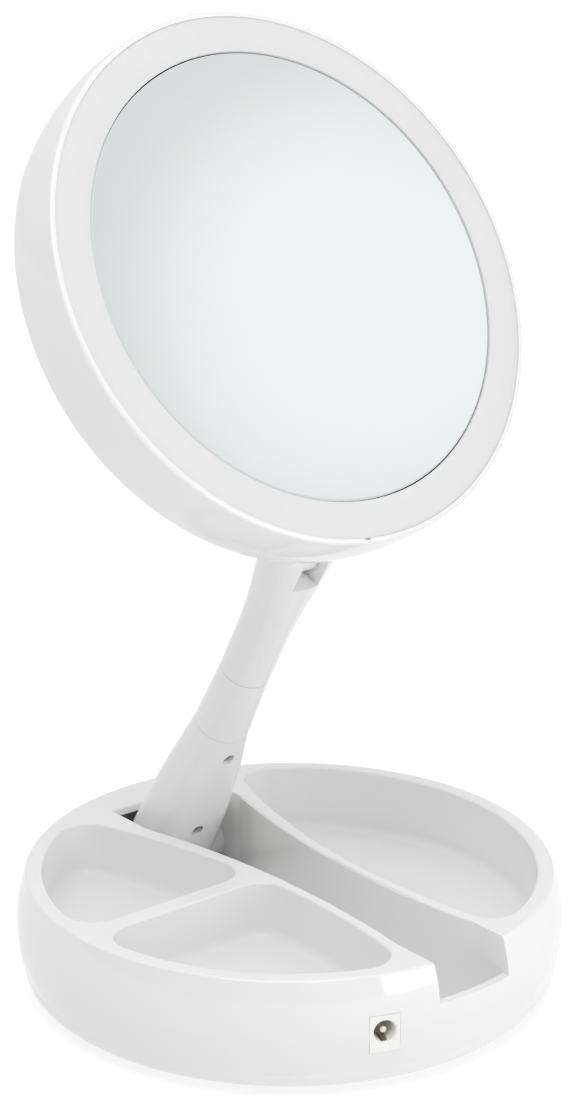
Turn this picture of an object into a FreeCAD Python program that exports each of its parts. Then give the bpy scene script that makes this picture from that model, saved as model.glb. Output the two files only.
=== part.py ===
import FreeCAD, Part
import math
import os

# A lighted make-up mirror that folds flat onto a round tray base.
# Millimetres. Origin at the centre of the base on the table plane, +Z up, open end of the arm channel at -Y.

Vec = FreeCAD.Vector
os.makedirs("parts", exist_ok=True)

# Common clearances
overrun = 2.0
seam_gap = 0.3
run_fit = 0.05
seat_gap = 0.1
edge_soft = 0.6

# Base body
base_h = 36.0
bulge_r = 83.7
bulge_z = 20.0
rim_in = 3.2
rim_r = bulge_r - rim_in
rim_soft = 0.7
foot_h = 2.5
pan_wall_in = 1.8
pan_wall_r = bulge_r - pan_wall_in
pan_wall_z = 8.0
pan_corner = 5.0
parting_z = 19.5
skin = 2.4
lip_h = 2.0
lip_t = 1.2
lip_gap = 0.15

# Storage pockets
pocket_land = 4.9
pocket_r = rim_r - pocket_land
pocket_wall = 2.2
left_floor_z = 18.5
right_floor_z = 14.5
pocket_corner = 9.0
pocket_scoop = 3.0
divider_back_y = 0.5
divider_front_y = -5.5
channel_wall = 2.4

# Arm channel
channel_front_half = 13.3
channel_waist_half = 10.1
channel_waist_y = -25.0
channel_bow_r = 290.0
wall_land = 3.5
wall_land_bow_r = 235.0
channel_floor_z = 7.2
channel_floor_t = 2.0
land_t = 2.6
land_reach = 1.3
well_in = 7.1
well_r = bulge_r - well_in
well_reach = 15.0
well_half = 20.0
notch_sill_z = 24.8
notch_in = 10.5

# Arm pivot
pivot_in = 15.5
pivot_y = rim_r - pivot_in
pivot_z = 16.5
pivot_pin_r = 2.5
pin_seat = 1.0
pivot_pin_half = well_half + pin_seat
boss_r = 6.5
boss_inner_x = 15.2
hub_r = 6.0
washer_r = 5.0
hub_x = 14.7
barrel_r = 7.5
barrel_half = 11.5
washer_t = 0.3
cam_offset = 1.5
cam_angle = 120.0

# Arm
arm_lean = 30.0
lid_in = 0.2
hinge_in = 7.9
lid_shift = 1.2
head_front_r = rim_r - lid_in
head_axis_y = head_front_r - hinge_in
fold_s = pivot_y + head_axis_y - lid_shift
swivel_drop = 49.0
swivel_s = fold_s - swivel_drop
collar_len = 24.2
collar_s = swivel_s - collar_len
collar_soft = 0.3
fork_end = 5.2
fork_round = 3.0
arm_wall = 2.0
section_points = 24
root_s = 4.0
low_share = 0.32
mid_share = 0.7
neck_rise = 17.5
throat_drop = 14.2
fork_drop = 3.2
root_section = (14.4, 9.0, 4.0, root_s)
low_section = (14.0, 8.9, 3.8, low_share * collar_s)
mid_section = (11.6, 8.7, 3.0, mid_share * collar_s)
collar_section = (8.8, 8.8, 2.0, collar_s)
seam_r = 7.9
neck_section = (8.0, 8.0, 2.05, swivel_s + neck_rise)
throat_section = (9.6, 8.5, 2.2, fold_s - throat_drop)
fork_section = (11.3, 8.8, 2.4, fold_s - fork_drop)
end_section = (11.9, 8.9, 2.4, fold_s + fork_end)
hollow_start = 12.0
screw_low_share = 0.33
screw_high_share = 0.87
screw_s = (screw_low_share * collar_s, screw_high_share * collar_s)
screw_recess_r = 2.2
screw_recess_depth = 3.0
screw_boss_r = 3.2
screw_head_r = 1.9
screw_head_h = 1.4
screw_shank_r = 1.1
screw_tip_y = 4.5

# Swivel shaft inside the arm
shaft_r = 4.6
shaft_bore_r = 3.0
shaft_flange_r = 5.5
shaft_flange_t = 1.6
shaft_rise = 20.0
shaft_top_s = swivel_s + shaft_rise
cable_bore_r = 2.6

# Head hinge
slot_depth = 6.2
lug_half = 4.0
lug_r = 5.2
lug_clear = 0.4
lug_front_y = 8.2
lug_back_y = 16.2
lug_foot_edge = 3.0
lug_foot_half = 9.0
lug_foot_t = 1.2
lug_foot_corner = 2.5
lug_screw_x = 6.5
lug_screw_len = 5.0
hinge_pin_r = 2.0
pin_in = 0.4
pin_blind = 1.9
hinge_pin_right = fork_section[0] - pin_in
hinge_pin_left = pin_blind - fork_section[0]
hinge_washer_r = 4.4
hinge_washer_t = 0.6

# Mirror head
head_lean = 61.0
head_gap = 0.4
head_t = 22.8
head_back_in = 0.9
head_back_r = head_front_r - head_back_in
head_bulge = 0.6
head_side_r = head_front_r + head_bulge
head_skin = 1.5
head_edge = 1.0
back_recess = 1.5
back_t = 2.2
ledge_t = 2.6
ledge_h = 4.4
board_t = 1.6
led_count = 30
led_w = 2.8
led_l = 3.5
led_h = 0.8
diffuser_gap = 0.1
diffuser_drop = 0.25
diffuser_crown = 0.6
diffuser_t = 1.6
ring_w = 11.1
mirror_r = head_front_r - head_skin - ring_w
mirror_gap = 0.4
mirror_t = 3.0
mirror_drop = 0.5
mirror_bevel = 0.5
carrier_rim = 1.0
carrier_r = mirror_r + carrier_rim
board_gap = 0.6
board_in_r = carrier_r + board_gap
carrier_t = 2.0
carrier_skirt_t = 2.0
pry_angle = -5.5
pry_half = 1.0
pry_depth = 1.0
head_screw_in = 11.0
head_screw_r = mirror_r - head_screw_in
head_screw_count = 4
head_screw_h = 0.8
head_post_r = 3.4

# Base fastenings and feet
foot_r = 4.8
foot_in = 11.5
foot_ring_r = rim_r - foot_in
foot_recess = 1.0
foot_gap = 0.2
screw_x_share = 0.447
screw_y_share = 0.671
screw_x = screw_x_share * rim_r
screw_y = screw_y_share * rim_r
post_r = 3.6
drive_w = 0.6
drive_depth = 0.5
post_base_z = 8.0
base_screw_r = 1.5
base_head_r = 2.7
base_head_h = 1.6
base_head_recess = 1.0
base_screw_len = 9.0

# Battery bay
cell_r = 5.25
cell_len = 43.5
cell_nub_r = 1.9
cell_nub_h = 1.0
cell_count = 4
cell_pitch = 11.0
cell_share = 0.335
cell_first_x = -cell_share * rim_r
cell_lift = 0.4
bay_wall = 1.6
bay_clear = 1.0
bay_end = 2.6
bay_top_z = 16.2
door_t = 1.2
door_ledge = 1.6
grip_count = 4
grip_pitch = 3.0
grip_w = 1.2
grip_len = 14.0
grip_depth = 0.5
contact_t = 0.5
contact_half = 4.2
contact_h = 8.0

# Power socket
jack_angle = -21.0
jack_half_w = 4.5
jack_half_h = 5.5
jack_depth = 13.5
jack_in = 0.2
jack_front_r = bulge_r - jack_in
jack_wall = 2.0
jack_hole_r = 3.25
jack_hole_lift = 0.5
jack_hole_depth = 9.5
jack_mouth = 0.4
jack_pin_r = 1.0
jack_pin_back = 1.2
spring_w = 2.0
spring_t = 0.4
spring_bow = 0.6

# Driver board and limit switch
pcb_x = (25.0, 60.0)
pcb_y = (-20.0, 20.0)
pcb_t = 1.6
pcb_lift = 1.8
pcb_post_r = 2.2
pcb_post_in = 3.5
chip_half = 2.5
chip_h = 1.6
coil_r = 3.0
coil_h = 3.0
coil_shift = 8.0
switch_half = 3.0
switch_h = 3.1
switch_x = 13.1
plunger_r = 1.0
plunger_cap_r = 1.3
plunger_cap_h = 0.8
plunger_bed = 0.3
plunger_foot_z = 6.9
window_gap = 0.5

# Derived places
skin_floor_z = foot_h + skin
jack_z = parting_z + jack_hole_lift
channel_back_y = pivot_y + land_reach
well_front_y = pivot_y - well_reach
notch_inner_y = notch_in - rim_r
head_rear_z = base_h + head_gap - pivot_z
head_front_z = head_rear_z + head_t
back_out_z = head_rear_z + back_recess
back_in_z = back_out_z + back_t
board_z = back_in_z + ledge_h
lip_in_r = head_front_r - head_skin
diffuser_out_r = lip_in_r - diffuser_gap
led_ring_r = (board_in_r + diffuser_out_r) / 2
arm_screw_y = screw_recess_depth - low_section[1]
mirror_top_z = head_front_z - mirror_drop
carrier_top_z = mirror_top_z - mirror_t
swivel_low = swivel_s - seam_gap / 2
swivel_high = swivel_s + seam_gap / 2
cell_z = skin_floor_z + cell_lift + cell_r
cell_half = cell_len / 2
cell_last_x = cell_first_x - cell_pitch * (cell_count - 1)
bay_x0 = cell_last_x - cell_r - bay_clear
bay_x1 = cell_first_x + cell_r + bay_clear
bay_half_y = cell_half + cell_nub_h + bay_end
x_axis = Vec(1, 0, 0)
y_axis = Vec(0, 1, 0)
z_axis = Vec(0, 0, 1)
zero = Vec(0, 0, 0)


def box(x0, x1, y0, y1, z0, z1):
    return Part.makeBox(x1 - x0, y1 - y0, z1 - z0, Vec(x0, y0, z0))


def rod(radius, z0, z1, x=0, y=0):
    return Part.makeCylinder(radius, z1 - z0, Vec(x, y, z0), z_axis)


def rod_x(radius, x0, x1, y=0, z=0):
    return Part.makeCylinder(radius, x1 - x0, Vec(x0, y, z), x_axis)


def rod_y(radius, y0, y1, x=0, z=0):
    return Part.makeCylinder(radius, y1 - y0, Vec(x, y0, z), y_axis)


def line(a, b):
    return Part.LineSegment(a, b).toShape()


def arc(a, b, c):
    return Part.Arc(a, b, c).toShape()


def polygon(points):
    closed = list(points) + [points[0]]
    return Part.Face(Part.makePolygon(closed))


def turned(edges):
    return Part.Face(Part.Wire(edges)).revolve(zero, z_axis, 360)


def flat(points):
    return [Vec(r, 0, z) for r, z in points]


def turned_polygon(points):
    return polygon(flat(points)).revolve(zero, z_axis, 360)


def joined(shapes):
    return shapes[0].multiFuse(shapes[1:]).removeSplitter()


def group(shapes):
    return Part.makeCompound(shapes)


def save(shape, node):
    shape.exportStep(os.path.join("parts", node + ".step"))


def on_arm(shape):
    placed = shape.copy()
    placed.rotate(zero, x_axis, arm_lean)
    placed.translate(Vec(0, pivot_y, pivot_z))
    return placed


def on_head(shape):
    placed = shape.copy()
    placed.rotate(zero, x_axis, head_lean)
    lean = math.radians(arm_lean)
    placed.translate(Vec(0, pivot_y - fold_s * math.sin(lean), pivot_z + fold_s * math.cos(lean)))
    return placed


def at_jack(shape):
    placed = shape.copy()
    placed.rotate(zero, z_axis, jack_angle)
    return placed


def base_form(inset, top_z, low_z):
    # The turned outside of the base: bulged wall, rounded lower corner, flat underside.
    wall = [(rim_r - inset, top_z), (bulge_r - inset, bulge_z), (pan_wall_r - inset, pan_wall_z)]
    rim, bulge, low = flat(wall)
    corner = pan_corner - inset / 2
    middle = math.radians(45)
    centre_r = pan_wall_r - inset - corner
    centre_z = low_z + corner
    knee = Vec(centre_r + corner * math.cos(middle), 0, centre_z - corner * math.sin(middle))
    start = Vec(pan_wall_r - inset, 0, centre_z)
    foot = Vec(centre_r, 0, low_z)
    edges = [arc(rim, bulge, low)]
    if low.z > start.z:
        edges.append(line(low, start))
    else:
        start = low
    edges.append(arc(start, knee, foot))
    edges.append(line(foot, Vec(0, 0, low_z)))
    edges.append(line(Vec(0, 0, low_z), Vec(0, 0, top_z)))
    edges.append(line(Vec(0, 0, top_z), rim))
    return turned(edges)


def waisted_form(half, bow_r, z0, z1):
    # Plan between two bowed walls that are closest at the waist of the arm.
    reach = bulge_r + overrun
    front = half + bow_r - math.sqrt(bow_r ** 2 - (reach + channel_waist_y) ** 2)
    back = half + bow_r - math.sqrt(bow_r ** 2 - (reach - channel_waist_y) ** 2)
    left = arc(Vec(-front, -reach, z0), Vec(-half, channel_waist_y, z0), Vec(-back, reach, z0))
    right = arc(Vec(back, reach, z0), Vec(half, channel_waist_y, z0), Vec(front, -reach, z0))
    far_end = line(Vec(-back, reach, z0), Vec(back, reach, z0))
    near_end = line(Vec(front, -reach, z0), Vec(-front, -reach, z0))
    plan = Part.Face(Part.Wire([left, far_end, right, near_end]))
    return plan.extrude(Vec(0, 0, z1 - z0))


def channel_form(grow, z0, z1, back_y):
    # The arm channel: bowed walls that run straight beside the notch and beside the pivot.
    reach = bulge_r + overrun
    front = channel_front_half + grow
    back = well_half + grow
    bowed = waisted_form(channel_waist_half + grow, channel_bow_r, z0, z1)
    limits = joined([box(-front, front, -reach, channel_waist_y, z0, z1),
                     box(-back, back, channel_waist_y, reach, z0, z1)])
    return bowed.common(limits).common(box(-reach, reach, -reach, back_y, z0, z1))


def pocket_plan(side, y0, y1, grow, z0, z1):
    # One storage pocket between the rim, the land beside the channel and its dividers.
    reach = bulge_r + overrun
    disc = rod(pocket_r + grow, z0, z1)
    disc.rotate(zero, z_axis, 90)
    if side < 0:
        half = box(-reach, 0, y0 - grow, y1 + grow, z0, z1)
    else:
        half = box(0, reach, y0 - grow, y1 + grow, z0, z1)
    land_half = channel_waist_half + wall_land
    keep_out = waisted_form(land_half - grow, wall_land_bow_r, z0 - overrun, z1 + overrun)
    return disc.common(half).cut(keep_out)


def upright_edges(shape):
    return [e for e in shape.Edges if abs(e.BoundBox.ZLength - shape.BoundBox.ZLength) < edge_soft
            and e.BoundBox.XLength < edge_soft and e.BoundBox.YLength < edge_soft]


def level_edges(shape, level):
    return [e for e in shape.Edges if abs(e.BoundBox.ZMin - level) < run_fit
            and abs(e.BoundBox.ZMax - level) < run_fit]


def pocket(side, y0, y1, floor_z):
    shape = pocket_plan(side, y0, y1, 0, floor_z, base_h + overrun)
    shape = shape.makeFillet(pocket_corner, upright_edges(shape))
    return shape.makeFillet(pocket_scoop, level_edges(shape, floor_z))


pocket_list = [
    (-1, divider_back_y, bulge_r, left_floor_z),
    (-1, -bulge_r, divider_front_y, left_floor_z),
    (1, -bulge_r, bulge_r, right_floor_z),
]


def jack_block(gap, ahead):
    # The socket's outline, grown by a gap all round and run out ahead of its face.
    half_w = jack_half_w + gap
    half_h = jack_half_h + gap
    front_y = -jack_front_r - ahead
    back_y = -jack_front_r + jack_depth + gap
    return at_jack(box(-half_w, half_w, front_y, back_y, parting_z - half_h, parting_z + half_h))


def jack_cut():
    return jack_block(seat_gap, overrun)


def post_places():
    return [(sx * screw_x, sy * screw_y) for sx in (-1, 1) for sy in (-1, 1)]


def channel_well(grow, z0, z1):
    # Room under the back land for the arm's barrel.
    half = well_half + grow
    block = box(-half, half, well_front_y - grow, bulge_r, z0, z1)
    return block.common(rod(well_r + grow, z0, z1))


def slab(z0, z1):
    reach = bulge_r + overrun
    return box(-reach, reach, -reach, reach, z0, z1)


def shell_wall(z0, z1):
    outer = base_form(0, base_h, foot_h)
    outer = outer.makeFillet(rim_soft, level_edges(outer, base_h))
    inner = base_form(skin, base_h - skin, skin_floor_z)
    return outer.cut(inner).common(slab(z0, z1))


def trough_form():
    # Walls and floor round the arm channel. Below the parting line they stop just inside the lower shell.
    trough_z = channel_floor_z - channel_floor_t
    top_z = base_h - skin / 2
    run = channel_form(channel_wall, trough_z, top_z, channel_back_y + channel_wall)
    whole = joined([run, channel_well(channel_wall, trough_z, top_z)])
    inside = base_form(skin + seam_gap, base_h, skin_floor_z + seam_gap)
    low = whole.common(inside).common(slab(trough_z, parting_z))
    high = whole.common(base_form(skin / 2, base_h, foot_h)).common(slab(parting_z, top_z))
    return joined([low, high])


def base_tray():
    shell = shell_wall(parting_z, base_h + overrun)
    top_z = base_h - skin / 2
    bowls = [pocket_plan(s, y0, y1, pocket_wall, f - pocket_wall, top_z) for s, y0, y1, f in pocket_list]
    posts = []
    for x, y in post_places():
        floor_z = left_floor_z if x < 0 else right_floor_z
        posts.append(rod(post_r, post_base_z, floor_z - pocket_wall / 2, x, y))
    body = joined([shell] + bowls + [trough_form()] + posts)
    for side, y0, y1, floor_z in pocket_list:
        hollow = pocket(side, y0, y1, floor_z)
        if side < 0 and y0 < 0:
            hollow = hollow.cut(jack_block(jack_wall, 0))
        body = body.cut(hollow)
    channel = channel_form(0, channel_floor_z, base_h, channel_back_y).common(base_form(skin, base_h, foot_h))
    body = body.cut(channel).cut(channel_well(0, channel_floor_z, base_h - land_t))
    body = body.makeFillet(rim_soft, mouth_edges(body))
    notch = channel_form(0, notch_sill_z, base_h + overrun, notch_inner_y)
    body = body.cut(notch)
    bosses = [rod_x(boss_r, boss_inner_x, pivot_pin_half, pivot_y, pivot_z),
              rod_x(boss_r, -pivot_pin_half, -boss_inner_x, pivot_y, pivot_z)]
    body = joined([body] + bosses)
    pin_hole = rod_x(pivot_pin_r, -pivot_pin_half, pivot_pin_half, pivot_y, pivot_z)
    cuts = [pin_hole, jack_cut(), switch_window()]
    for x, y in post_places():
        cuts.append(rod(base_screw_r, post_base_z - overrun, post_base_z + base_screw_len, x, y))
    body = body.cut(group(cuts))
    return body


def mouth_edges(body):
    # The upper edges of the pockets: everything level with the rim that stays inside the rim land.
    limit = pocket_r + rim_soft
    found = []
    for edge in level_edges(body, base_h):
        far = max(math.hypot(v.X, v.Y) for v in edge.Vertexes)
        near = min(abs(v.X) for v in edge.Vertexes)
        if far < limit and near > channel_waist_half + channel_wall / 2 and edge.BoundBox.XLength > run_fit:
            found.append(edge)
    return found


def switch_window():
    half = switch_half + window_gap
    z0 = channel_floor_z - channel_floor_t - overrun
    z1 = channel_floor_z + overrun
    return box(switch_x - half, switch_x + half, pivot_y - half, pivot_y + half, z0, z1)


def bay_frame():
    half_y = bay_half_y + bay_wall
    outer = box(bay_x0 - bay_wall, bay_x1 + bay_wall, -half_y, half_y, skin_floor_z - skin / 2, bay_top_z)
    outer = outer.common(base_form(skin / 2, base_h, foot_h))
    return outer.cut(box(bay_x0, bay_x1, -bay_half_y, bay_half_y, foot_h, bay_top_z + overrun))


def door_plate(gap):
    return box(bay_x0 - gap, bay_x1 + gap, -bay_half_y - gap, bay_half_y + gap, foot_h, foot_h + door_t)


def foot_places():
    places = []
    for quarter in range(4):
        turn = math.radians(45 + 90 * quarter)
        places.append((foot_ring_r * math.cos(turn), foot_ring_r * math.sin(turn)))
    return places


def pcb_places():
    return [(x, y) for x in (pcb_x[0] + pcb_post_in, pcb_x[1] - pcb_post_in)
            for y in (pcb_y[0] + pcb_post_in, pcb_y[1] - pcb_post_in)]


def ring_wall(out_in, in_in, z0, z1):
    return base_form(out_in, base_h, foot_h).cut(base_form(in_in, base_h, foot_h)).common(slab(z0, z1))


def pan_lip():
    # A low inner lip that locates the tray. It is left out where the arm channel runs to the front wall.
    depth = skin + lip_gap + lip_t
    lip = ring_wall(skin + lip_gap, depth, parting_z - lip_h, parting_z + lip_h)
    root = ring_wall(skin / 2, depth, parting_z - lip_h, parting_z - lip_h / 2)
    gap = channel_form(channel_wall + seam_gap, foot_h, base_h, 0)
    return joined([lip, root]).cut(gap)


def base_pan():
    shell = shell_wall(0, parting_z)
    root_z = skin_floor_z - skin / 2
    posts = [rod(post_r, root_z, post_base_z, x, y) for x, y in post_places()]
    pcb_posts = [rod(pcb_post_r, root_z, skin_floor_z + pcb_lift, x, y) for x, y in pcb_places()]
    body = joined([shell, pan_lip(), bay_frame()] + posts + pcb_posts)
    half_y = bay_half_y - door_ledge
    opening = box(bay_x0 + door_ledge, bay_x1 - door_ledge, -half_y, half_y, 0, skin_floor_z + overrun)
    cuts = [door_plate(seam_gap), opening, jack_cut()]
    for x, y in foot_places():
        cuts.append(rod(foot_r + foot_gap, 0, foot_h + foot_recess, x, y))
    for x, y in post_places():
        cuts.append(rod(base_screw_r, 0, base_h, x, y))
        cuts.append(rod(base_head_r + foot_gap, 0, foot_h + base_head_recess + base_head_h, x, y))
    return body.cut(group(cuts))


def battery_door():
    plate = door_plate(0)
    grips = []
    middle_x = (bay_x0 + bay_x1) / 2
    x0 = middle_x - grip_len / 2
    x1 = middle_x + grip_len / 2
    for index in range(grip_count):
        y = -bay_half_y + grip_pitch * (index + 1)
        grips.append(box(x0, x1, y, y + grip_w, 0, foot_h + grip_depth))
    return plate.cut(group(grips))


def battery_cells():
    cells = []
    for index in range(cell_count):
        x = cell_first_x - cell_pitch * index
        way = 1 if index % 2 else -1
        body = rod_y(cell_r, -cell_half, cell_half, x, cell_z)
        body = body.makeFillet(edge_soft, body.Edges[0:1] + body.Edges[2:3])
        if way > 0:
            nub = rod_y(cell_nub_r, cell_half, cell_half + cell_nub_h, x, cell_z)
        else:
            nub = rod_y(cell_nub_r, -cell_half - cell_nub_h, -cell_half, x, cell_z)
        cells.append(joined([body, nub]))
    return group(cells)


def battery_contacts():
    plates = []
    for index in range(cell_count):
        x = cell_first_x - cell_pitch * index
        z0 = cell_z - contact_h / 2
        z1 = cell_z + contact_h / 2
        for side in (-1, 1):
            near = side * bay_half_y
            far = near - side * contact_t
            plate = box(x - contact_half, x + contact_half, min(near, far), max(near, far), z0, z1)
            positive = side > 0 if index % 2 else side < 0
            tip = cell_half + (cell_nub_h if positive else 0)
            low = cell_z - contact_t / 2
            half = contact_half / 2
            reach = sorted((side * tip, near))
            tongue = box(x - half, x + half, reach[0], reach[1], low, low + contact_t)
            plates.append(joined([plate, tongue]))
    return group(plates)


def rubber_feet():
    feet = []
    for x, y in foot_places():
        foot = rod(foot_r, 0, foot_h + foot_recess, x, y)
        feet.append(foot.makeChamfer(edge_soft, level_edges(foot, 0)))
    return group(feet)


def base_screws():
    screws = []
    head_z = foot_h + base_head_recess
    for x, y in post_places():
        head = rod(base_head_r, head_z, head_z + base_head_h, x, y)
        shank = rod(base_screw_r, head_z, head_z + base_head_h + base_screw_len, x, y)
        screws.append(joined([head, shank]).cut(cross_drive(x, y, 0, head_z + drive_depth)))
    return group(screws)


def cross_drive(x, y, z0, z1):
    long = base_head_r / 2
    short = drive_w / 2
    return joined([box(x - long, x + long, y - short, y + short, z0, z1),
                   box(x - short, x + short, y - long, y + long, z0, z1)])


def jack_body():
    body = jack_block(0, 0)
    y0 = -jack_front_r
    hole = rod_y(jack_hole_r, y0 - overrun, y0 + jack_hole_depth, 0, jack_z)
    mouth = Part.makeCone(jack_hole_r + jack_mouth, jack_hole_r, jack_mouth, Vec(0, y0, jack_z), y_axis)
    slit_z = jack_z - jack_hole_r - spring_t
    slit = box(-spring_w / 2, spring_w / 2, y0 + jack_mouth + spring_t, y0 + jack_hole_depth, slit_z, jack_z)
    return body.cut(at_jack(group([hole, mouth, slit]))).cut(at_jack(jack_pin_form()))


def jack_pin_form():
    y0 = -jack_front_r
    return rod_y(jack_pin_r, y0 + jack_pin_back, y0 + jack_hole_depth + overrun, 0, jack_z)


def jack_pin():
    pin = jack_pin_form()
    tip = [e for e in pin.Edges if e.BoundBox.YMax < -jack_front_r + jack_pin_back + run_fit]
    return at_jack(pin.makeFillet(jack_pin_r / 2, tip))


def jack_spring():
    # A bowed leaf lying in the lower slit of the socket.
    y0 = -jack_front_r + jack_mouth + spring_t
    y1 = -jack_front_r + jack_hole_depth
    low = jack_z - jack_hole_r - spring_t
    half = spring_w / 2
    mid_y = (y0 + y1) / 2
    outer = [Vec(-half, y0, low), Vec(-half, mid_y, low + spring_bow), Vec(-half, y1, low)]
    inner = [p + Vec(0, 0, spring_t) for p in outer]
    inner.reverse()
    edges = [arc(*outer), line(outer[-1], inner[0]), arc(*inner), line(inner[-1], outer[0])]
    return at_jack(Part.Face(Part.Wire(edges)).extrude(Vec(spring_w, 0, 0)))


def driver_board():
    z0 = skin_floor_z + pcb_lift
    z1 = z0 + pcb_t
    board = box(pcb_x[0], pcb_x[1], pcb_y[0], pcb_y[1], z0, z1)
    middle_x = (pcb_x[0] + pcb_x[1]) / 2
    chip = box(middle_x - chip_half, middle_x + chip_half, -chip_half, chip_half, z1, z1 + chip_h)
    coil = rod(coil_r, z1, z1 + coil_h, middle_x, coil_shift)
    return joined([board, chip, coil])


def switch_body():
    half = switch_half
    z0 = skin_floor_z
    body = box(switch_x - half, switch_x + half, pivot_y - half, pivot_y + half, z0, z0 + switch_h)
    return body.cut(rod(plunger_r + run_fit, z0 + plunger_bed, z0 + switch_h + overrun, switch_x, pivot_y))


def cam_centre(angle):
    turn = math.radians(angle)
    return cam_offset * math.cos(turn), cam_offset * math.sin(turn)


def switch_plunger():
    rise = cam_offset * math.sin(math.radians(cam_angle + arm_lean))
    top_z = pivot_z + rise - hub_r - seam_gap
    stem = rod(plunger_r, plunger_foot_z, top_z, switch_x, pivot_y)
    cap = rod(plunger_cap_r, top_z - plunger_cap_h, top_z, switch_x, pivot_y)
    return joined([stem, cap])


def pivot_pin():
    pin = rod_x(pivot_pin_r, -pivot_pin_half, pivot_pin_half, pivot_y, pivot_z)
    return pin.makeChamfer(edge_soft, [e for e in pin.Edges if e.BoundBox.XLength < run_fit])


def pivot_washers():
    rings = []
    for side in (-1, 1):
        x0 = boss_inner_x - washer_t if side > 0 else -boss_inner_x
        ring = rod_x(washer_r, x0, x0 + washer_t, pivot_y, pivot_z)
        rings.append(ring.cut(rod_x(pivot_pin_r, x0 - overrun, x0 + washer_t + overrun, pivot_y, pivot_z)))
    return group(rings)


def rounded(value, power):
    return math.copysign(abs(value) ** (2 / power), value)


def section(half_w, half_t, power, s):
    # A softly squared oval across the arm, at distance s from the pivot.
    points = []
    for index in range(section_points):
        turn = 2 * math.pi * index / section_points
        x = half_w * rounded(math.cos(turn), power)
        y = half_t * rounded(math.sin(turn), power)
        points.append(Vec(x, y, s))
    curve = Part.BSplineCurve()
    curve.interpolate(Points=points, PeriodicFlag=True)
    return Part.Wire([curve.toShape()])


def thinner(profile, wall):
    half_w, half_t, power, s = profile
    return (half_w - wall, half_t - wall, power, s)


def lofted(profiles):
    return Part.makeLoft([section(*p) for p in profiles], True, False)


def lower_arm():
    profiles = [root_section, low_section, mid_section, collar_section]
    outer = lofted(profiles)
    barrel = rod_x(barrel_r, -barrel_half, barrel_half)
    hub = rod_x(hub_r, -hub_x, -barrel_half)
    cam_y, cam_z = cam_centre(cam_angle)
    cam = rod_x(hub_r, barrel_half, hub_x, cam_y, cam_z)
    body = joined([outer, barrel, hub, cam])
    hollow = lofted([thinner(p, arm_wall) for p in profiles])
    reach = fold_s
    hollow = hollow.common(box(-reach, reach, -reach, reach, hollow_start, collar_s + overrun))
    half_t = low_section[1] - arm_wall / 2
    bosses = [rod_y(screw_boss_r, -half_t, half_t, 0, s) for s in screw_s]
    hollow = hollow.cut(group(bosses))
    body = body.cut(hollow).cut(rod_x(pivot_pin_r + run_fit, -hub_x - overrun, hub_x + overrun))
    cuts = []
    for s in screw_s:
        cuts.append(rod_y(screw_recess_r, -reach, arm_screw_y, 0, s))
        cuts.append(rod_y(screw_shank_r, arm_screw_y - overrun, screw_tip_y, 0, s))
    return body.cut(group(cuts))


def arm_half(body, side):
    reach = fold_s
    if side < 0:
        return body.common(box(-reach, reach, -reach, 0, -reach, reach))
    return body.common(box(-reach, reach, 0, reach, -reach, reach))


def arm_screws():
    screws = []
    top = arm_screw_y - screw_head_h
    half = drive_w / 2
    for s in screw_s:
        head = rod_y(screw_head_r, top, arm_screw_y, 0, s)
        shank = rod_y(screw_shank_r, top + drive_depth, screw_tip_y, 0, s)
        slot = box(-screw_head_r, screw_head_r, top - overrun, top + drive_depth, s - half, s + half)
        screws.append(joined([head, shank]).cut(slot))
    return group(screws)


def swivel_collar():
    low_r = collar_section[0]
    body = Part.makeCone(low_r, seam_r, swivel_low - collar_s, Vec(0, 0, collar_s), z_axis)
    body = body.makeChamfer(collar_soft, level_edges(body, collar_s))
    return body.cut(rod(shaft_r + run_fit, collar_s - overrun, swivel_low + overrun))


def swivel_shaft():
    low = collar_s - seam_gap - shaft_flange_t
    tube = rod(shaft_r, low, shaft_top_s)
    flange = rod(shaft_flange_r, low, low + shaft_flange_t)
    return joined([tube, flange]).cut(rod(shaft_bore_r, low - overrun, shaft_top_s + overrun))


def upper_arm():
    start = (seam_r, seam_r, collar_section[2], swivel_high)
    body = lofted([start, neck_section, throat_section, fork_section, end_section])
    top = level_edges(body, fold_s + fork_end)
    body = body.makeFillet(fork_round, top)
    slot_half = lug_half + hinge_washer_t + 2 * seat_gap
    slot = box(-slot_half, slot_half, -fold_s, fold_s, fold_s - slot_depth, fold_s + fork_end + overrun)
    pin_hole = rod_x(hinge_pin_r + run_fit, hinge_pin_left - seat_gap, fold_s, 0, fold_s)
    cable = rod(cable_bore_r, swivel_low, fold_s)
    shaft = rod(shaft_r, swivel_low, shaft_top_s)
    return body.cut(group([slot, pin_hole])).cut(joined([cable, shaft]))


def hinge_pin():
    pin = rod_x(hinge_pin_r, hinge_pin_left, hinge_pin_right)
    return pin.makeChamfer(edge_soft / 2, [e for e in pin.Edges if e.BoundBox.XLength < run_fit])


def hinge_washers():
    rings = []
    for side in (-1, 1):
        inner = lug_half + seat_gap
        x0 = inner if side > 0 else -inner - hinge_washer_t
        ring = rod_x(hinge_washer_r, x0, x0 + hinge_washer_t)
        rings.append(ring.cut(rod_x(hinge_pin_r, x0 - overrun, x0 + hinge_washer_t + overrun)))
    return group(rings)


def on_axis(shape):
    placed = shape.copy()
    placed.translate(Vec(0, head_axis_y, 0))
    return placed


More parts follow.
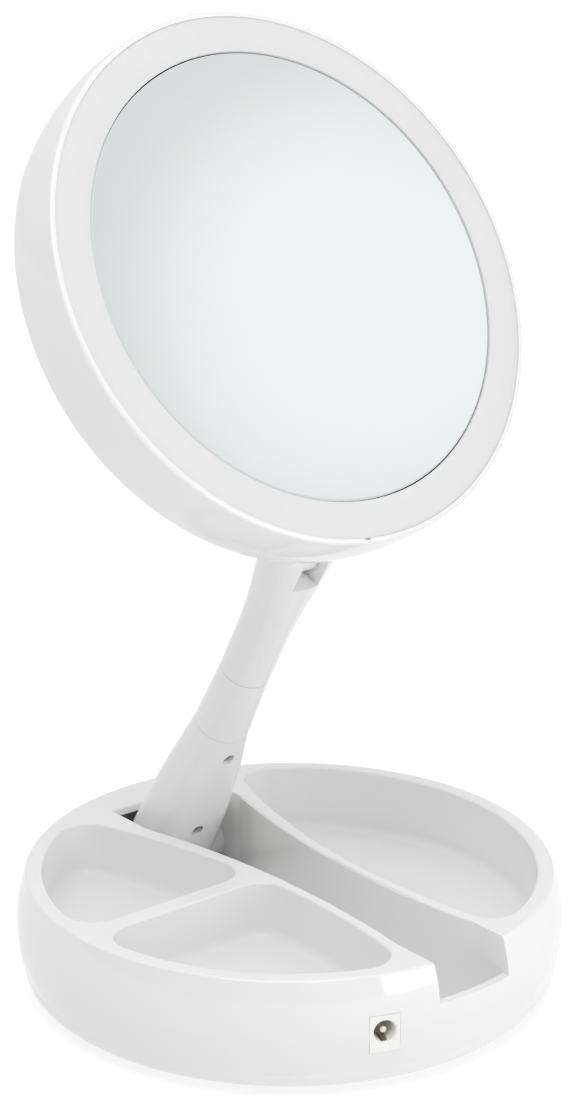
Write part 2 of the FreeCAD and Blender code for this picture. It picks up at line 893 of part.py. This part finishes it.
def head_cup():
    rear, front = head_rear_z, head_front_z
    middle = (rear + front) / 2
    side = [Vec(head_back_r, 0, rear), Vec(head_side_r, 0, middle), Vec(head_front_r, 0, front)]
    edges = [
        line(Vec(0, 0, rear), side[0]),
        arc(*side),
        line(side[2], Vec(0, 0, front)),
        line(Vec(0, 0, front), Vec(0, 0, rear)),
    ]
    body = turned(edges)
    body = body.makeFillet(head_edge, level_edges(body, rear) + level_edges(body, front))
    ledge_r = lip_in_r - ledge_t
    open_z = front + overrun
    bore = turned_polygon([(0, back_in_z), (ledge_r, back_in_z), (ledge_r, board_z), (lip_in_r, board_z),
                           (lip_in_r, open_z), (0, open_z)])
    recess = rod(lip_in_r, rear - overrun, rear + back_recess)
    body = on_axis(body.cut(bore).cut(recess))
    cuts = []
    for x, y in head_screw_places():
        cuts.append(rod(base_screw_r, rear - overrun, back_in_z + overrun, x, y))
    for x, y in lug_screw_places():
        cuts.append(rod(screw_shank_r, rear - overrun, back_in_z + overrun, x, y))
    return body.cut(group(cuts)).cut(pry_slot())


def lug_screw_places():
    middle_y = (lug_front_y + lug_back_y) / 2
    return [(-lug_screw_x, middle_y), (lug_screw_x, middle_y)]


def hinge_lug():
    # A cranked lug from the hinge barrel to a foot plate under the head, straight while inside the fork.
    knee_z = fork_section[1] + lug_clear
    top_z = back_out_z
    outline = [(-lug_r, 0), (lug_front_y, top_z), (lug_back_y, top_z), (lug_r, knee_z), (lug_r, 0)]
    web = polygon([Vec(-lug_half, y, z) for y, z in outline]).extrude(Vec(2 * lug_half, 0, 0))
    foot = box(-lug_foot_half, lug_foot_half, lug_front_y - lug_foot_edge, lug_back_y + lug_foot_edge,
               top_z - lug_foot_t, top_z)
    foot = foot.makeFillet(lug_foot_corner, upright_edges(foot))
    body = joined([web, rod_x(lug_r, -lug_half, lug_half), foot])
    cuts = [rod_x(hinge_pin_r + run_fit, -fold_s, fold_s)]
    for x, y in lug_screw_places():
        cuts.append(rod(screw_shank_r, top_z - lug_foot_t - overrun, top_z + overrun, x, y))
    return body.cut(group(cuts))


def lug_screws():
    screws = []
    face = back_out_z - lug_foot_t
    for x, y in lug_screw_places():
        head = rod(screw_head_r, face - head_screw_h, face, x, y)
        shank = rod(screw_shank_r, face - run_fit, face + lug_screw_len, x, y)
        drive = cross_drive(x, y, face - head_screw_h - overrun, face - head_screw_h + drive_depth)
        screws.append(joined([head, shank]).cut(drive))
    return group(screws)


def pry_slot():
    # A small notch in the front lip for lifting the diffuser out.
    front = head_front_z
    far_y = -diffuser_out_r - head_skin / 2
    cut = box(-pry_half, pry_half, far_y, -diffuser_out_r, front - pry_depth, front + overrun)
    cut.rotate(zero, z_axis, pry_angle)
    return on_axis(cut)


def head_screw_places():
    places = []
    for index in range(head_screw_count):
        turn = math.radians(45 + 360 / head_screw_count * index)
        places.append((head_screw_r * math.cos(turn), head_axis_y + head_screw_r * math.sin(turn)))
    return places


def mirror_carrier():
    top = carrier_top_z
    skirt_in = carrier_r - carrier_skirt_t
    low = top - carrier_t
    dish = turned_polygon([(0, low), (skirt_in, low), (skirt_in, back_in_z), (carrier_r, back_in_z),
                           (carrier_r, top), (0, top)])
    posts = [rod(head_post_r, back_in_z, low + carrier_t / 2, x, y) for x, y in head_screw_places()]
    body = joined([on_axis(dish)] + posts)
    hole_z = back_in_z + base_screw_len
    holes = [rod(base_screw_r, back_in_z - overrun, hole_z, x, y) for x, y in head_screw_places()]
    return body.cut(group(holes))


def head_screws():
    screws = []
    face = back_out_z
    for x, y in head_screw_places():
        head = rod(base_head_r, face - head_screw_h, face, x, y)
        shank = rod(base_screw_r, face - run_fit, face + base_screw_len, x, y)
        drive = cross_drive(x, y, face - head_screw_h - overrun, face - head_screw_h + drive_depth)
        screws.append(joined([head, shank]).cut(drive))
    return group(screws)


def mirror_glass():
    glass = rod(mirror_r, carrier_top_z, mirror_top_z)
    glass = glass.makeChamfer(mirror_bevel, level_edges(glass, mirror_top_z))
    return on_axis(glass)


def diffuser_ring():
    inner_r = mirror_r + mirror_gap
    outer_r = diffuser_out_r
    top = head_front_z - diffuser_drop
    middle_r = (inner_r + outer_r) / 2
    wall = diffuser_t
    seat_z = board_z + board_t
    crown = flat([(inner_r, top), (middle_r, top + diffuser_crown), (outer_r, top)])
    walls = flat([(outer_r, top), (outer_r, seat_z), (outer_r - wall, seat_z), (outer_r - wall, top - wall),
                  (inner_r + wall, top - wall), (inner_r + wall, carrier_top_z), (inner_r, carrier_top_z),
                  (inner_r, top)])
    edges = [arc(*crown)]
    for a, b in zip(walls, walls[1:]):
        edges.append(line(a, b))
    return on_axis(turned(edges))


def led_board():
    ring = rod(diffuser_out_r, board_z, board_z + board_t)
    return on_axis(ring.cut(rod(board_in_r, board_z - overrun, board_z + board_t + overrun)))


def leds():
    chips = []
    z0 = board_z + board_t
    for index in range(led_count):
        chip = box(led_ring_r - led_w / 2, led_ring_r + led_w / 2, -led_l / 2, led_l / 2, z0, z0 + led_h)
        chip.rotate(zero, z_axis, 360 / led_count * index)
        chips.append(chip)
    return on_axis(group(chips))


arm_body = lower_arm()

save(base_tray(), "base_tray")
save(base_pan(), "base_pan")
save(battery_door(), "battery_door")
save(battery_cells(), "battery_cells")
save(battery_contacts(), "battery_contacts")
save(rubber_feet(), "rubber_feet")
save(base_screws(), "base_screws")
save(jack_body(), "jack_body")
save(jack_pin(), "jack_pin")
save(jack_spring(), "jack_spring")
save(driver_board(), "driver_board")
save(switch_body(), "switch_body")
save(switch_plunger(), "switch_plunger")
save(pivot_pin(), "pivot_pin")
save(pivot_washers(), "pivot_washers")
save(on_arm(arm_half(arm_body, -1)), "lower_arm_front")
save(on_arm(arm_half(arm_body, 1)), "lower_arm_back")
save(on_arm(arm_screws()), "arm_screws")
save(on_arm(swivel_collar()), "swivel_collar")
save(on_arm(swivel_shaft()), "swivel_shaft")
save(on_arm(upper_arm()), "upper_arm")
save(on_head(hinge_pin()), "hinge_pin")
save(on_head(hinge_washers()), "hinge_washers")
save(on_head(head_cup()), "head_cup")
save(on_head(hinge_lug()), "hinge_lug")
save(on_head(lug_screws()), "lug_screws")
save(on_head(mirror_carrier()), "mirror_carrier")
save(on_head(head_screws()), "head_screws")
save(on_head(mirror_glass()), "mirror_glass")
save(on_head(diffuser_ring()), "diffuser_ring")
save(on_head(led_board()), "led_board")
save(on_head(leds()), "leds")
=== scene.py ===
import math

import bpy
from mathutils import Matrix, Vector

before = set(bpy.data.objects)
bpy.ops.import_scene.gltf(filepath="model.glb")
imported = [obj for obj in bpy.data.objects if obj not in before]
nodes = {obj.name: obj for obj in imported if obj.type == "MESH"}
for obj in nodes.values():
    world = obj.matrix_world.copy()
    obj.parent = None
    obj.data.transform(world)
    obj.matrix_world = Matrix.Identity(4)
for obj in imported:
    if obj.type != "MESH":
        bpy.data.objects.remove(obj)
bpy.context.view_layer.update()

scene = bpy.context.scene

# Folding lighted mirror: every CAD node keeps its mesh and place and gets a procedural material.
# Lengths are in metres and angles in degrees. A pair runs from its low value to its high one.

# Camera, fitted to the photograph. Focal length and lens axis are in the photograph's pixels.
IMAGE_W = 571
IMAGE_H = 1096
FOCAL_PX = 2306.9
AXIS_PX = (289.6, 537.4)
CAM_AZIMUTH = -39.4
CAM_ELEVATION = 16.1
CAM_DISTANCE = 0.6793
CAM_TARGET = (0.0, 0.0, 0.139)
CAM_CLIP = (0.01, 100.0)
SENSOR_MM = 36.0

# Linear light in and out of the tone curve, between black and white, and that curve's place among
# the view's curves: it follows red, green and blue.
TONE_CURVE = [(0.12, 0.14), (0.40, 0.56), (0.75, 0.78)]
COMBINED_CURVE = 3

# Light tent: its even glow, and for each brighter part the direction, the cosines where the glow
# starts and where it is full, and the strength. The last two parts show in the mirror.
TENT_GLOW = 0.35
MIRROR_DIR = (0.65, -0.545, 0.53)
TENT_PARTS = [
    ((0.2, 1.0, 0.3), 0.35, 0.95, 0.50),
    ((0.0, 0.0, 1.0), 0.55, 0.95, 0.80),
    (MIRROR_DIR, 0.72, 0.93, 0.23),
    (MIRROR_DIR, 0.9915, 0.9990, 0.34),
]

# Light panels: name, place, the point each faces, width and height, and watts.
PANELS = [
    ("side_panel", (0.35, -1.10, 0.22), (0.0, 0.0, 0.08), (0.9, 0.4), 3.9),
    ("overhead", (-0.40, -0.40, 1.00), (0.0, 0.0, 0.04), (0.7, 0.7), 4.3),
]

# Floor: half its side, its tones and roughness, and a glow of its own that makes it white.
FLOOR_HALF = 20.0
FLOOR_TONES = ((0.29, 0.29, 0.29), (0.31, 0.31, 0.31))
FLOOR_ROUGHNESS = 0.6
FLOOR_GLOW = 0.70
WHITE = (1.0, 1.0, 1.0, 1.0)

# Noises: scale, detail and roughness. The ramps that colour them run between the stops.
EVEN = 0.5
FLOOR_DRIFT = (0.8, 2.0, EVEN)
SILVER_CLOUD = (9.0, 2.0, EVEN)
SILVER_DUST = (700.0, 3.0, 0.7)
FROST_MILK = (30.0, 3.0, EVEN)
FROST_GRAIN = (2600.0, 2.0, EVEN)
PLASTIC_FLOW = (22.0, 4.0, EVEN)
PLASTIC_HAZE = (60.0, 5.0, 0.6)
BRUSH_LINES = (900.0, 4.0, EVEN)
DRIFT_STOPS = (0.3, 0.7)
BRUSH_STOPS = (0.35, 0.65)

# Mirror glass: how far its face leans from straight up and where it then looks, the cosines to that
# where the silver starts and is full, the silver's tones and roughness, and the ground bevel's.
HEAD_LEAN = 61.0
HEAD_NORMAL = (0.0, -math.sin(math.radians(HEAD_LEAN)), math.cos(math.radians(HEAD_LEAN)))
SILVER_FACING = (0.96, 0.99)
SILVER_TONES = ((0.895, 0.965, 0.96), (0.905, 0.97, 0.965))
SILVER_ROUGHNESS = (0.012, 0.03)
BEVEL_TONE = (0.56, 0.62, 0.61, 1.0)
BEVEL_ROUGHNESS = 0.4

# Sockets of a Mix node for colours, by number because their names repeat for each type of data.
MIX_FACTOR = 0
MIX_A = 6
MIX_B = 7
MIX_RESULT = 2

# Frosted light ring: tones, roughness, how far light spreads under its skin, and the skin's
# strength and depth.
FROST_TONES = ((0.625, 0.625, 0.632), (0.64, 0.64, 0.647))
FROST_ROUGHNESS = (0.3, 0.42)
FROST_SUBSURFACE = 0.25
FROST_RADIUS = (0.004, 0.004, 0.004)
FROST_RADIUS_SCALE = 1.0
FROST_SKIN = (0.15, 0.00002)

# Moulded plastics: name, colour, how much darker the tone drifts, roughness, and the scale and
# depth of the skin.
PLASTIC_IOR = 1.5
SKIN_DETAIL = 2.0
SKIN_STRENGTH = 0.25
PLASTICS = [
    ("white_shell", (0.75, 0.75, 0.748), 0.015, (0.035, 0.07), 260.0, 0.000006),
    ("white_lower_shell", (0.745, 0.745, 0.743), 0.015, (0.04, 0.08), 260.0, 0.000006),
    ("inner_plastic", (0.62, 0.62, 0.61), 0.06, (0.35, 0.5), 1400.0, 0.00004),
    ("socket_plastic", (0.80, 0.80, 0.77), 0.04, (0.2, 0.32), 1600.0, 0.00003),
    ("foot_rubber", (0.74, 0.74, 0.73), 0.12, (0.6, 0.8), 1800.0, 0.00006),
    ("nylon", (0.68, 0.68, 0.67), 0.1, (0.4, 0.55), 1500.0, 0.00004),
    ("switch_plastic", (0.03, 0.03, 0.03), 0.2, (0.35, 0.5), 1500.0, 0.00004),
    ("green_board", (0.03, 0.16, 0.07), 0.25, (0.25, 0.4), 500.0, 0.00004),
    ("white_board", (0.78, 0.78, 0.76), 0.05, (0.3, 0.45), 800.0, 0.00003),
    ("led_phosphor", (0.85, 0.74, 0.30), 0.15, (0.25, 0.4), 900.0, 0.00003),
    ("cell_sleeve", (0.10, 0.12, 0.15), 0.2, (0.18, 0.3), 300.0, 0.00002),
]

# Metals: name, colour, roughness, and how far the brush lines are squeezed along each axis.
BRUSH_SHADE = 0.86
BRUSH_SKIN = (0.2, 0.00003)
METALS = [
    ("screw_steel", (0.60, 0.61, 0.62), (0.18, 0.35), (1.0, 1.0, 12.0)),
    ("contact_nickel", (0.74, 0.72, 0.67), (0.12, 0.28), (8.0, 1.0, 1.0)),
]

# The CAD nodes that get each material.
DRESS = {
    "white_shell": [
        "base_tray", "lower_arm_front", "lower_arm_back", "swivel_collar", "upper_arm",
        "head_cup", "hinge_lug",
    ],
    "white_lower_shell": ["base_pan", "battery_door"],
    "inner_plastic": ["mirror_carrier"],
    "socket_plastic": ["jack_body"],
    "foot_rubber": ["rubber_feet"],
    "nylon": ["pivot_washers", "swivel_shaft", "hinge_washers"],
    "switch_plastic": ["switch_body", "switch_plunger"],
    "green_board": ["driver_board"],
    "white_board": ["led_board"],
    "led_phosphor": ["leds"],
    "cell_sleeve": ["battery_cells"],
    "screw_steel": [
        "base_screws", "pivot_pin", "arm_screws", "hinge_pin", "head_screws", "lug_screws",
    ],
    "contact_nickel": ["battery_contacts", "jack_pin", "jack_spring"],
    "silvered_mirror": ["mirror_glass"],
    "frosted_ring": ["diffuser_ring"],
}


def add_camera():
    data = bpy.data.cameras.new("camera")
    data.sensor_width = SENSOR_MM
    data.lens = SENSOR_MM * FOCAL_PX / IMAGE_H
    data.shift_x = (IMAGE_W / 2 - AXIS_PX[0]) / IMAGE_H
    data.shift_y = (AXIS_PX[1] - IMAGE_H / 2) / IMAGE_H
    data.clip_start, data.clip_end = CAM_CLIP
    camera = bpy.data.objects.new("camera", data)
    scene.collection.objects.link(camera)
    a, e = math.radians(CAM_AZIMUTH), math.radians(CAM_ELEVATION)
    back = Vector((math.sin(a) * math.cos(e), -math.cos(a) * math.cos(e), math.sin(e)))
    camera.rotation_mode = "QUATERNION"
    camera.location = Vector(CAM_TARGET) + back * CAM_DISTANCE
    camera.rotation_quaternion = (-back).to_track_quat("-Z", "Y")
    scene.camera = camera


def link(tree, a, a_socket, b, b_socket):
    tree.links.new(a.outputs[a_socket], b.inputs[b_socket])


def new_material(name):
    material = bpy.data.materials.new(name)
    material.use_nodes = True
    tree = material.node_tree
    tree.nodes.clear()
    out = tree.nodes.new("ShaderNodeOutputMaterial")
    shader = tree.nodes.new("ShaderNodeBsdfPrincipled")
    link(tree, shader, "BSDF", out, "Surface")
    return material, tree, shader


def texture_coords(tree):
    return tree.nodes.new("ShaderNodeTexCoord")


def noise(tree, source, socket, pattern):
    n = tree.nodes.new("ShaderNodeTexNoise")
    for name, value in zip(("Scale", "Detail", "Roughness"), pattern):
        n.inputs[name].default_value = value
    link(tree, source, socket, n, "Vector")
    return n


def ramp(tree, source, stops, tones):
    r = tree.nodes.new("ShaderNodeValToRGB")
    for element, place, tone in zip(r.color_ramp.elements, stops, tones):
        element.position = place
        element.color = (*tone, 1.0)
    link(tree, source, "Fac", r, "Fac")
    return r


def span(tree, source, limits):
    m = tree.nodes.new("ShaderNodeMapRange")
    m.inputs["To Min"].default_value, m.inputs["To Max"].default_value = limits
    link(tree, source, "Fac", m, "Value")
    return m


def bump(tree, shader, source, strength, depth):
    b = tree.nodes.new("ShaderNodeBump")
    b.inputs["Strength"].default_value = strength
    b.inputs["Distance"].default_value = depth
    link(tree, source, "Fac", b, "Height")
    link(tree, b, "Normal", shader, "Normal")


def cosine(tree, coords, socket, towards):
    dot = tree.nodes.new("ShaderNodeVectorMath")
    dot.operation = "DOT_PRODUCT"
    dot.inputs[1].default_value = towards
    link(tree, coords, socket, dot, 0)
    return dot


def moulded(name, colour, drift, rough, skin_scale, skin_depth):
    # Injection-moulded plastic: a slow drift of tone and gloss, and a fine skin.
    material, tree, shader = new_material(name)
    coords = texture_coords(tree)
    flow = noise(tree, coords, "Object", PLASTIC_FLOW)
    dark = tuple(c * (1.0 - drift) for c in colour)
    tone = ramp(tree, flow, DRIFT_STOPS, (dark, colour))
    link(tree, tone, "Color", shader, "Base Color")
    haze = noise(tree, coords, "Object", PLASTIC_HAZE)
    gloss = span(tree, haze, rough)
    link(tree, gloss, "Result", shader, "Roughness")
    shader.inputs["IOR"].default_value = PLASTIC_IOR
    skin = noise(tree, coords, "Object", (skin_scale, SKIN_DETAIL, EVEN))
    bump(tree, shader, skin, SKIN_STRENGTH, skin_depth)
    return material


def metal(name, colour, rough, squeeze):
    # Bare metal: fine lines in its tone, its gloss and its skin.
    material, tree, shader = new_material(name)
    coords = texture_coords(tree)
    place = tree.nodes.new("ShaderNodeMapping")
    place.inputs["Scale"].default_value = squeeze
    link(tree, coords, "Object", place, "Vector")
    lines = noise(tree, place, "Vector", BRUSH_LINES)
    dark = tuple(c * BRUSH_SHADE for c in colour)
    tone = ramp(tree, lines, BRUSH_STOPS, (dark, colour))
    link(tree, tone, "Color", shader, "Base Color")
    gloss = span(tree, lines, rough)
    link(tree, gloss, "Result", shader, "Roughness")
    shader.inputs["Metallic"].default_value = 1.0
    bump(tree, shader, lines, *BRUSH_SKIN)
    return material


def mirror_material():
    # Silvered glass: bright metal where the surface faces forward, ground glass on bevel and rim.
    material, tree, shader = new_material("silvered_mirror")
    coords = texture_coords(tree)
    facing = cosine(tree, coords, "Normal", HEAD_NORMAL)
    silver = tree.nodes.new("ShaderNodeMapRange")
    silver.inputs["From Min"].default_value = SILVER_FACING[0]
    silver.inputs["From Max"].default_value = SILVER_FACING[1]
    link(tree, facing, "Value", silver, "Value")
    link(tree, silver, "Result", shader, "Metallic")
    cloud = noise(tree, coords, "Object", SILVER_CLOUD)
    tone = ramp(tree, cloud, DRIFT_STOPS, SILVER_TONES)
    tint = tree.nodes.new("ShaderNodeMix")
    tint.data_type = "RGBA"
    tint.inputs[MIX_A].default_value = BEVEL_TONE
    link(tree, silver, "Result", tint, MIX_FACTOR)
    link(tree, tone, "Color", tint, MIX_B)
    link(tree, tint, MIX_RESULT, shader, "Base Color")
    dust = noise(tree, coords, "Object", SILVER_DUST)
    polish = span(tree, dust, SILVER_ROUGHNESS)
    ground = tree.nodes.new("ShaderNodeMapRange")
    ground.inputs["To Min"].default_value = BEVEL_ROUGHNESS
    link(tree, silver, "Result", ground, "Value")
    link(tree, polish, "Result", ground, "To Max")
    link(tree, ground, "Result", shader, "Roughness")
    return material


def frosted_material():
    # Frosted plastic: milky, with a fine grain.
    material, tree, shader = new_material("frosted_ring")
    coords = texture_coords(tree)
    milk = noise(tree, coords, "Object", FROST_MILK)
    tone = ramp(tree, milk, DRIFT_STOPS, FROST_TONES)
    link(tree, tone, "Color", shader, "Base Color")
    grain = noise(tree, coords, "Object", FROST_GRAIN)
    gloss = span(tree, grain, FROST_ROUGHNESS)
    link(tree, gloss, "Result", shader, "Roughness")
    shader.inputs["Subsurface Weight"].default_value = FROST_SUBSURFACE
    shader.inputs["Subsurface Radius"].default_value = FROST_RADIUS
    shader.inputs["Subsurface Scale"].default_value = FROST_RADIUS_SCALE
    bump(tree, shader, grain, *FROST_SKIN)
    return material


def add_materials():
    looks = {row[0]: moulded(*row) for row in PLASTICS}
    looks.update({row[0]: metal(*row) for row in METALS})
    looks["silvered_mirror"] = mirror_material()
    looks["frosted_ring"] = frosted_material()
    for look, names in DRESS.items():
        for name in names:
            slots = nodes[name].data.materials
            slots.clear()
            slots.append(looks[look])


def add_floor():
    corners = [
        (-FLOOR_HALF, -FLOOR_HALF, 0.0), (FLOOR_HALF, -FLOOR_HALF, 0.0),
        (FLOOR_HALF, FLOOR_HALF, 0.0), (-FLOOR_HALF, FLOOR_HALF, 0.0),
    ]
    mesh = bpy.data.meshes.new("floor")
    mesh.from_pydata(corners, [], [(0, 1, 2, 3)])
    floor = bpy.data.objects.new("floor", mesh)
    scene.collection.objects.link(floor)
    material, tree, shader = new_material("pale_floor")
    coords = texture_coords(tree)
    soft = noise(tree, coords, "Object", FLOOR_DRIFT)
    tone = ramp(tree, soft, DRIFT_STOPS, FLOOR_TONES)
    link(tree, tone, "Color", shader, "Base Color")
    shader.inputs["Roughness"].default_value = FLOOR_ROUGHNESS
    shader.inputs["Emission Color"].default_value = WHITE
    shader.inputs["Emission Strength"].default_value = FLOOR_GLOW
    mesh.materials.append(material)


def area_light(name, place, aim, size, power):
    data = bpy.data.lights.new(name, "AREA")
    data.shape = "RECTANGLE"
    data.size, data.size_y = size
    data.energy = power
    light = bpy.data.objects.new(name, data)
    scene.collection.objects.link(light)
    light.location = place
    light.rotation_mode = "QUATERNION"
    light.rotation_quaternion = (Vector(aim) - Vector(place)).to_track_quat("-Z", "Y")
    light.visible_camera = False


def direction_glow(tree, coords, towards, start, stop, strength):
    # A value that rises from zero to its strength as the sky direction turns towards a given one.
    facing = cosine(tree, coords, "Generated", Vector(towards).normalized())
    rise = tree.nodes.new("ShaderNodeMapRange")
    rise.interpolation_type = "SMOOTHSTEP"
    rise.inputs["From Min"].default_value = start
    rise.inputs["From Max"].default_value = stop
    rise.inputs["To Max"].default_value = strength
    link(tree, facing, "Value", rise, "Value")
    return rise


def plus(tree, first, second):
    both = tree.nodes.new("ShaderNodeMath")
    both.operation = "ADD"
    link(tree, first, 0, both, 0)
    link(tree, second, 0, both, 1)
    return both


def add_world():
    world = bpy.data.worlds.new("studio")
    world.use_nodes = True
    scene.world = world
    tree = world.node_tree
    tree.nodes.clear()
    out = tree.nodes.new("ShaderNodeOutputWorld")
    back = tree.nodes.new("ShaderNodeBackground")
    link(tree, back, "Background", out, "Surface")
    coords = texture_coords(tree)
    total = tree.nodes.new("ShaderNodeValue")
    total.outputs[0].default_value = TENT_GLOW
    for part in TENT_PARTS:
        total = plus(tree, total, direction_glow(tree, coords, *part))
    link(tree, total, 0, back, "Strength")
    back.inputs["Color"].default_value = WHITE


def set_tone():
    # The photograph is high-key: its middle tones are lifted and lie close together.
    view = scene.view_settings
    view.view_transform = "Standard"
    view.use_curve_mapping = True
    curve = view.curve_mapping.curves[COMBINED_CURVE]
    for place, tone in TONE_CURVE:
        curve.points.new(place, tone)
    view.curve_mapping.update()


def add_lights():
    add_world()
    for panel in PANELS:
        area_light(*panel)


add_camera()
add_materials()
add_floor()
add_lights()
set_tone()
